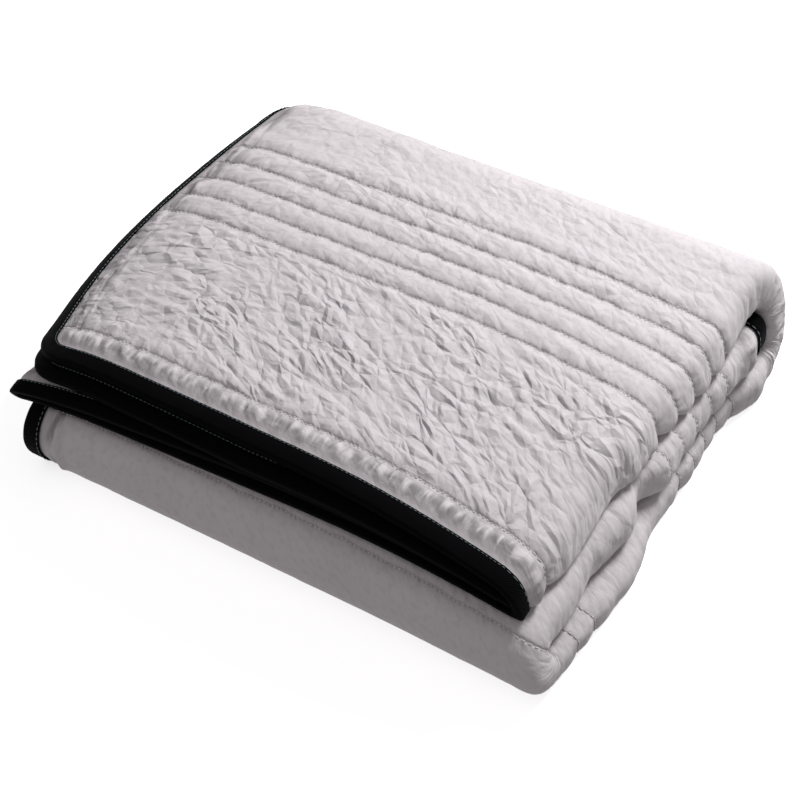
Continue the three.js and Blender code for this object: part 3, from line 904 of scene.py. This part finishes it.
class NodeSheet:
    """A short way to write a material's nodes."""

    def __init__(self, name):
        self.material = bpy.data.materials.new(name)
        self.material.use_nodes = True
        self.tree = self.material.node_tree
        self.shader = self.tree.nodes["Principled BSDF"]

    def add(self, kind, inputs=(), **settings):
        node = self.tree.nodes.new(kind)
        for key, value in settings.items():
            setattr(node, key, value)
        for key, value in dict(inputs).items():
            if isinstance(value, bpy.types.NodeSocket):
                self.tree.links.new(value, node.inputs[key])
            else:
                node.inputs[key].default_value = value
        return node

    def math(self, operation, a, b=0.0):
        return self.add("ShaderNodeMath", {0: a, 1: b}, operation=operation).outputs[0]

    def vector(self, operation, inputs):
        return self.add("ShaderNodeVectorMath", inputs, operation=operation).outputs[0]

    def times(self, a, b):
        return self.math("MULTIPLY", a, b)

    def surface(self, **values):
        """Set the shader's own sockets, each named in lower case with underscores."""
        for key, value in values.items():
            socket = key.replace("_", " ").title().replace("Ior", "IOR")
            self.shader.inputs[socket].default_value = value

    def flat_places(self, scale=(1.0, 1.0, 1.0), turn=0.0, uv_map="flat_cloth"):
        uv = self.add("ShaderNodeUVMap", uv_map=uv_map).outputs[0]
        mapping = self.add("ShaderNodeMapping", {
            "Vector": uv, "Scale": scale, "Rotation": (0.0, 0.0, math.radians(turn)),
        })
        return mapping.outputs[0]

    def noise(self, places, scale, detail=2.0, roughness=0.5):
        return self.add("ShaderNodeTexNoise", {
            "Vector": places, "Scale": scale, "Detail": detail, "Roughness": roughness,
        }).outputs[0]

    def attribute(self, name):
        return self.add("ShaderNodeAttribute", attribute_name=name).outputs["Fac"]

    def ribs(self, places, scale, distortion, detail, direction="X"):
        return self.add("ShaderNodeTexWave", {
            "Vector": places, "Scale": scale, "Distortion": distortion, "Detail": detail,
        }, bands_direction=direction).outputs[1]

    def range(self, value, low, high, to_low, to_high):
        return self.add("ShaderNodeMapRange", {
            0: value, 1: low, 2: high, 3: to_low, 4: to_high,
        }).outputs[0]

    def blend(self, share, first, second):
        node = self.add("ShaderNodeMix", data_type="RGBA")
        for key, value in ((0, share), (6, first), (7, second)):
            if isinstance(value, bpy.types.NodeSocket):
                self.tree.links.new(value, node.inputs[key])
            else:
                node.inputs[key].default_value = value
        return node.outputs[2]

    def bump(self, height, strength, distance, below=None):
        inputs = {"Height": height, "Strength": strength, "Distance": distance}
        if below is not None:
            inputs["Normal"] = below
        return self.add("ShaderNodeBump", inputs).outputs[0]

    def finish(self, colour, normal=None):
        self.tree.links.new(colour, self.shader.inputs["Base Color"])
        if normal is not None:
            self.tree.links.new(normal, self.shader.inputs["Normal"])
        return self.material


def rgba(colour, factor=1.0):
    return (*(channel * factor for channel in colour), 1.0)


def seam_distance(sheet):
    """Millimetres from the nearest quilting row, worked out in the material."""
    uv = sheet.add("ShaderNodeUVMap", uv_map="flat_cloth").outputs[0]
    split = sheet.add("ShaderNodeSeparateXYZ", {0: uv}).outputs
    along = sheet.times(split[1], 1000.0)
    across = sheet.times(split[0], 1000.0)
    for reach, length in zip(WANDER["reach"], WANDER["length"]):
        turn = sheet.math("SINE", sheet.times(across, 2 * math.pi / length))
        along = sheet.math("ADD", along, sheet.times(turn, float(reach)))
    nearest = None
    for first, rows, pitch in zip(QUILTING["first"], QUILTING["rows"], QUILTING["pitch"]):
        offset = sheet.math("SUBTRACT", along, float(first))
        if rows > 1:
            step = sheet.math("ROUND", sheet.math("DIVIDE", offset, float(pitch)))
            step = sheet.math("MINIMUM", sheet.math("MAXIMUM", step, 0.0), float(rows - 1))
            offset = sheet.math("SUBTRACT", offset, sheet.times(step, float(pitch)))
        distance = sheet.math("ABSOLUTE", offset)
        nearest = distance if nearest is None else sheet.math("MINIMUM", nearest, distance)
    return nearest


def falling(sheet, distance, reach):
    """From 1 at a seam to 0 far from it."""
    return sheet.math("EXPONENT", sheet.times(distance, -1.0 / reach))


def facets(sheet, scale, turn, size, warp):
    """Crumpled facets with sharp edges, from 0 on a crease upwards."""
    places = sheet.flat_places(scale, turn, "crease_lines")
    sway = sheet.add("ShaderNodeTexNoise", {
        "Vector": places, "Scale": size * 0.8, "Detail": 1.0,
    }).outputs["Color"]
    sway = sheet.vector("SUBTRACT", {0: sway, 1: (0.5, 0.5, 0.5)})
    sway = sheet.vector("SCALE", {0: sway, "Scale": warp / size})
    moved = sheet.vector("ADD", {0: places, 1: sway})
    return sheet.add("ShaderNodeTexVoronoi", {
        "Vector": moved, "Scale": size, "Randomness": 1.0,
    }, feature="DISTANCE_TO_EDGE", voronoi_dimensions="2D").outputs[0]


# Surface detail of the cotton: depths of its bump in millimetres, and the groove's reach
LARGE_FACET_DEPTH = 4.0
SMALL_FACET_DEPTH = 2.6
FINE_DEPTH = 0.5
PUCKER_DEPTH = 4.2
GROOVE_DEPTH = 0.8
GROOVE_REACH = 1.3
WEAVE_SCALE = 260.0
TWILL_SCALE = 210.0


def cotton_material(cloth):
    """Washed cotton: crumpled facets, puckers at the seams, a weave and faint mottling, with painted
    shade in the grooves, the crease cavities, the pucker hollows and faint wrinkles.
    """
    sheet = NodeSheet("washed_cotton")
    distance = seam_distance(sheet)
    rumple = sheet.attribute("rumple")
    large = facets(sheet, (1.0, 1.9, 1.0), 3.0, 27.0, 1.1)
    small = facets(sheet, (1.0, 1.25, 1.0), -24.0, 62.0, 1.3)
    fine = sheet.noise(sheet.flat_places((1.0, 1.2, 1.0), 31.0, "crease_lines"), 150.0, 1.0)
    patch = sheet.range(sheet.noise(sheet.flat_places(), 14.0, 1.0), 0.38, 0.6, 0.45, 1.0)
    crumples = sheet.times(large, LARGE_FACET_DEPTH)
    crumples = sheet.math("ADD", crumples, sheet.times(small, SMALL_FACET_DEPTH))
    crumples = sheet.times(crumples, patch)
    crumples = sheet.times(crumples, rumple)
    crumples = sheet.math("ADD", crumples, sheet.times(fine, FINE_DEPTH))
    # Painted shade of faint wrinkles: a long noise that only darkens the colour and has no relief of
    # its own
    wrinkle_shade = sheet.noise(sheet.flat_places((1.0, 0.12, 1.0)), 70.0, 1.0)
    fluff = sheet.attribute("fluff")
    pucker = sheet.noise(sheet.flat_places((1.0, 0.2, 1.0)), 110.0, 2.0)
    near_seam = sheet.math("MAXIMUM", falling(sheet, distance, PUCKER_REACH), fluff)
    # Painted shade in the pucker hollows behind the tape: darker where the pucker noise is low
    hollow_shade = sheet.times(sheet.range(pucker, 0.42, 0.58, 1.0, 0.0), fluff)
    pucker = sheet.times(pucker, near_seam)
    groove = sheet.times(distance, distance)
    groove = falling(sheet, groove, GROOVE_REACH)
    height = sheet.math("ADD", crumples, sheet.times(pucker, PUCKER_DEPTH))
    height = sheet.math("SUBTRACT", height, sheet.times(groove, GROOVE_DEPTH))
    places = sheet.flat_places()
    weft = sheet.ribs(places, WEAVE_SCALE, 0.6, 1.0)
    warp = sheet.ribs(places, WEAVE_SCALE, 0.6, 1.0, "Y")
    weave = sheet.times(weft, warp)
    relief = sheet.attribute("relief")
    mottle = sheet.noise(places, 9.0, 4.0, 0.6)
    slub = sheet.noise(sheet.flat_places((1.0, 9.0, 1.0)), 160.0, 2.0, 0.6)
    # Painted shade: the colour darkens toward the painted shade colour where the relief is low, down
    # in the seams and grooves
    depth = sheet.range(relief, -0.75, 0.3, 0.0, 1.0)
    tone = sheet.blend(depth, rgba(cloth.painted_shade_colour), rgba(cloth.colour))
    tone = sheet.blend(sheet.range(mottle, 0.35, 0.65, 0.0, 0.3), tone, rgba(cloth.shade_colour))
    # Painted shade in the small creases: darker where the fine crease noise, which also shapes the
    # bump, is low
    crease_shade = sheet.range(fine, 0.34, 0.5, 0.2, 0.0)
    tone = sheet.blend(crease_shade, tone, rgba(cloth.painted_shade_colour, 0.8))
    # Painted shade in the pucker hollows behind the tape
    tone = sheet.blend(hollow_shade, tone, rgba(cloth.painted_shade_colour, 0.5))
    # Painted shade of faint wrinkles
    tone = sheet.blend(sheet.range(wrinkle_shade, 0.4, 0.6, 0.0, 0.06), tone, rgba(cloth.painted_shade_colour))
    tone = sheet.blend(sheet.range(slub, 0.4, 0.7, 0.0, 0.15), tone, rgba(cloth.colour, 1.1))
    normal = sheet.bump(weave, 0.2, 0.0002)
    normal = sheet.bump(height, 1.0, 0.001, normal)
    sheet.surface(
        roughness=0.82, sheen_weight=0.12, sheen_roughness=0.5, specular_ior_level=0.3)
    return sheet.finish(tone, normal)


def tape_material(edge):
    """Black twill tape with fine ribs across it and slightly worn high spots."""
    sheet = NodeSheet("black_twill_tape")
    places = sheet.flat_places((1.0, 1.0, 1.0), 38.0)
    ribs = sheet.ribs(places, TWILL_SCALE, 1.0, 2.0)
    fuzz = sheet.noise(sheet.flat_places(), 900.0, 3.0, 0.7)
    wear = sheet.noise(sheet.flat_places(), 45.0, 3.0, 0.6)
    share = sheet.times(sheet.range(wear, 0.45, 0.75, 0.0, 0.55), ribs)
    tone = sheet.blend(share, rgba(edge.colour), rgba(edge.worn_colour))
    normal = sheet.bump(fuzz, 0.3, 0.0002)
    normal = sheet.bump(ribs, 0.6, 0.0003, normal)
    sheet.surface(roughness=0.8, specular_ior_level=0.03)
    return sheet.finish(tone, normal)


def thread_material(name, colour):
    """Twisted thread with fine plies."""
    sheet = NodeSheet(name)
    twist = sheet.noise(sheet.flat_places((1.0, 4.0, 1.0), 35.0), 1800.0, 2.0, 0.5)
    tone = sheet.blend(sheet.range(twist, 0.3, 0.7, 0.0, 1.0), rgba(colour, 0.75), rgba(colour))
    sheet.surface(roughness=0.6)
    return sheet.finish(tone, sheet.bump(twist, 0.4, 0.0002))


# The photograph's viewpoint, in metres and degrees
CAMERA_TARGET = Vector((0.0346, -0.0446, 0.06))
CAMERA_AZIMUTH = 30.6
CAMERA_ELEVATION = 43.7
CAMERA_DISTANCE = 1.679
CAMERA_LENS = 86.3

# Lamps: azimuth and elevation in degrees, distance and size in metres
KEY_LAMP = (158.0, 46.0, 1.7, 0.55)
FILL_LAMP = (-20.0, 60.0, 2.6, 2.0)
SKY_COLOUR = (1.0, 0.955, 0.965, 1.0)

# A wide pale floor, with a glow that keeps it pale in the pad's shade
FLOOR_SIZE = 160.0
FLOOR_TONES = ((0.9, 0.9, 0.9, 1.0), (0.92, 0.92, 0.92, 1.0))
FLOOR_GLOW = 0.7


def direction(azimuth, elevation):
    a, e = math.radians(azimuth), math.radians(elevation)
    return Vector((math.sin(a) * math.cos(e), -math.cos(a) * math.cos(e), math.sin(e)))


def make_camera():
    data = bpy.data.cameras.new("photo_camera")
    data.lens = CAMERA_LENS
    data.clip_end = 2.0 * FLOOR_SIZE
    camera = bpy.data.objects.new("photo_camera", data)
    bpy.context.collection.objects.link(camera)
    back = direction(CAMERA_AZIMUTH, CAMERA_ELEVATION)
    camera.location = CAMERA_TARGET + back * CAMERA_DISTANCE
    camera.rotation_euler = (-back).to_track_quat("-Z", "Y").to_euler()
    bpy.context.scene.camera = camera


def add_softbox(name, azimuth, elevation, distance, size, energy):
    data = bpy.data.lights.new(name, "AREA")
    data.shape = "DISK"
    data.size = size
    data.energy = energy
    lamp = bpy.data.objects.new(name, data)
    bpy.context.collection.objects.link(lamp)
    back = direction(azimuth, elevation)
    lamp.location = back * distance
    lamp.rotation_euler = (-back).to_track_quat("-Z", "Y").to_euler()


def make_floor():
    for each in bpy.context.selected_objects:
        each.select_set(False)
    bpy.ops.mesh.primitive_plane_add(size=FLOOR_SIZE, location=(0.0, 0.0, 0.0))
    floor = bpy.context.active_object
    floor.name = "floor"
    sheet = NodeSheet("pale_floor")
    speck = sheet.add("ShaderNodeTexCoord").outputs["Object"]
    grain = sheet.noise(speck, 30.0, 2.0)
    tone = sheet.blend(grain, *FLOOR_TONES)
    sheet.surface(
        roughness=0.9, specular_ior_level=0.1, emission_color=(1.0, 1.0, 1.0, 1.0),
        emission_strength=FLOOR_GLOW)
    floor.visible_diffuse = False
    floor.data.materials.append(sheet.finish(tone))


def make_world(strength):
    world = bpy.data.worlds.new("studio")
    world.use_nodes = True
    background = world.node_tree.nodes["Background"]
    background.inputs[0].default_value = SKY_COLOUR
    background.inputs[1].default_value = strength
    bpy.context.scene.world = world
    bpy.context.scene.view_settings.view_transform = "Standard"


def colour_property(name, description, default):
    return FloatVectorProperty(
        name=name, description=description, default=default, subtype="COLOR")


class BlanketCloth(bpy.types.PropertyGroup):
    puff: FloatProperty(
        name="Puff", description="How full the filling is", default=1.0, subtype="FACTOR")
    crumple: FloatProperty(
        name="Crumple", description="Depth of the creases", default=1.0, subtype="FACTOR")
    pucker: FloatProperty(
        name="Pucker", description="Puckers along the rows", default=1.0, subtype="FACTOR")
    gather: FloatProperty(name="Gather", description="Creases round the fold, in mm", default=1.3)
    scallop: FloatProperty(name="Scallop", description="Lumps behind the tape, in mm", default=3.2)
    stitch_pitch: FloatProperty(name="Stitch pitch", description="In mm", default=4.4)
    colour: colour_property(
        "Cloth", "Colour of the cotton", (0.62, 0.585, 0.605))
    shade_colour: colour_property(
        "Mottling", "Colour of its darker patches", (0.56, 0.53, 0.55))
    # Painted shade colour, mixed into the cloth at low relief, in crease cavities, in pucker hollows
    # and in faint wrinkles
    painted_shade_colour: colour_property(
        "Painted shade", "Colour down in the grooves", (0.45, 0.42, 0.43))
    thread: colour_property(
        "Thread", "Colour of the quilting thread", (0.8, 0.77, 0.79))


class BlanketEdge(bpy.types.PropertyGroup):
    ripple: FloatProperty(name="Ripple", description="Waviness of the tape, in mm", default=0.3)
    stitch_inset: FloatProperty(
        name="Stitch inset", description="From the tape's inner edge, in mm", default=1.8)
    stitch_pitch: FloatProperty(name="Stitch pitch", description="In mm", default=4.6)
    colour: colour_property(
        "Tape", "Colour of the tape", (0.0013, 0.0013, 0.0017))
    worn_colour: colour_property(
        "Worn tape", "Colour of its raised ribs", (0.0035, 0.0035, 0.0045))
    thread: colour_property(
        "Thread", "Colour of the thread on the tape", (0.16, 0.22, 0.24))


class BlanketStage(bpy.types.PropertyGroup):
    key_power: FloatProperty(
        name="Key light", description="In watts", default=28.5, unit="POWER")
    fill_power: FloatProperty(
        name="Fill light", description="In watts", default=5.0, unit="POWER")
    sky: FloatProperty(name="Sky", description="Brightness of the white room", default=0.3)


class BLANKET_OT_quilt(bpy.types.Operator):
    """Make the folded quilted cloth"""
    bl_idname = "blanket.quilt"
    bl_label = "Quilted cloth"

    def execute(self, context):
        piece = make_quilt(context.scene.blanket_cloth)
        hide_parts("quilt")
        return {"FINISHED"}


class BLANKET_OT_binding(bpy.types.Operator):
    """Make the tape folded over the blanket's edge"""
    bl_idname = "blanket.binding"
    bl_label = "Binding tape"

    def execute(self, context):
        piece = make_binding(context.scene.blanket_edge)
        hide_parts("edge_binding")
        return {"FINISHED"}


class BLANKET_OT_stitches(bpy.types.Operator):
    """Make the stitches on the tape and in the quilting grooves"""
    bl_idname = "blanket.stitches"
    bl_label = "Stitches"

    def execute(self, context):
        make_edge_stitches(context.scene.blanket_edge)
        make_quilting_stitches(context.scene.blanket_cloth)
        return {"FINISHED"}


class BLANKET_OT_declare(bpy.types.Operator):
    """A step that does nothing: the cloth's flat size and what is sewn on it are not stated"""
    bl_idname = "blanket.declare"
    bl_label = "Cloth facts"

    def execute(self, context):
        return {"FINISHED"}


class BLANKET_OT_stage(bpy.types.Operator):
    """Make the floor, the lights and the camera"""
    bl_idname = "blanket.stage"
    bl_label = "Stage"

    def execute(self, context):
        stage = context.scene.blanket_stage
        make_floor()
        make_world(stage.sky)
        add_softbox("key_light", *KEY_LAMP, stage.key_power)
        add_softbox("fill_light", *FILL_LAMP, stage.fill_power)
        make_camera()
        return {"FINISHED"}


class BLANKET_PT_panel(bpy.types.Panel):
    """Lists the blanket's pieces and sizes"""
    bl_label = "Blanket"
    bl_idname = "BLANKET_PT_panel"
    bl_space_type = "VIEW_3D"
    bl_region_type = "UI"
    bl_category = "Blanket"

    def draw(self, context):
        layout = self.layout
        for operator in OPERATORS:
            layout.operator(operator.bl_idname)
        for group in (
            context.scene.blanket_cloth, context.scene.blanket_edge, context.scene.blanket_stage,
        ):
            for name in group.__annotations__:
                layout.prop(group, name)


OPERATORS = (
    BLANKET_OT_quilt, BLANKET_OT_binding, BLANKET_OT_stitches, BLANKET_OT_declare,
    BLANKET_OT_stage,
)
GROUPS = (BlanketCloth, BlanketEdge, BlanketStage)


def register():
    for each in (*GROUPS, *OPERATORS, BLANKET_PT_panel):
        bpy.utils.register_class(each)
    bpy.types.Scene.blanket_cloth = PointerProperty(type=BlanketCloth)
    bpy.types.Scene.blanket_edge = PointerProperty(type=BlanketEdge)
    bpy.types.Scene.blanket_stage = PointerProperty(type=BlanketStage)


def unregister():
    del bpy.types.Scene.blanket_cloth
    del bpy.types.Scene.blanket_edge
    del bpy.types.Scene.blanket_stage
    for each in reversed((*GROUPS, *OPERATORS, BLANKET_PT_panel)):
        bpy.utils.unregister_class(each)


def main():
    register()
    bpy.ops.blanket.quilt()
    bpy.ops.blanket.binding()
    bpy.ops.blanket.stitches()
    bpy.ops.blanket.declare()
    bpy.ops.blanket.stage()


if __name__ == "__main__":
    main()
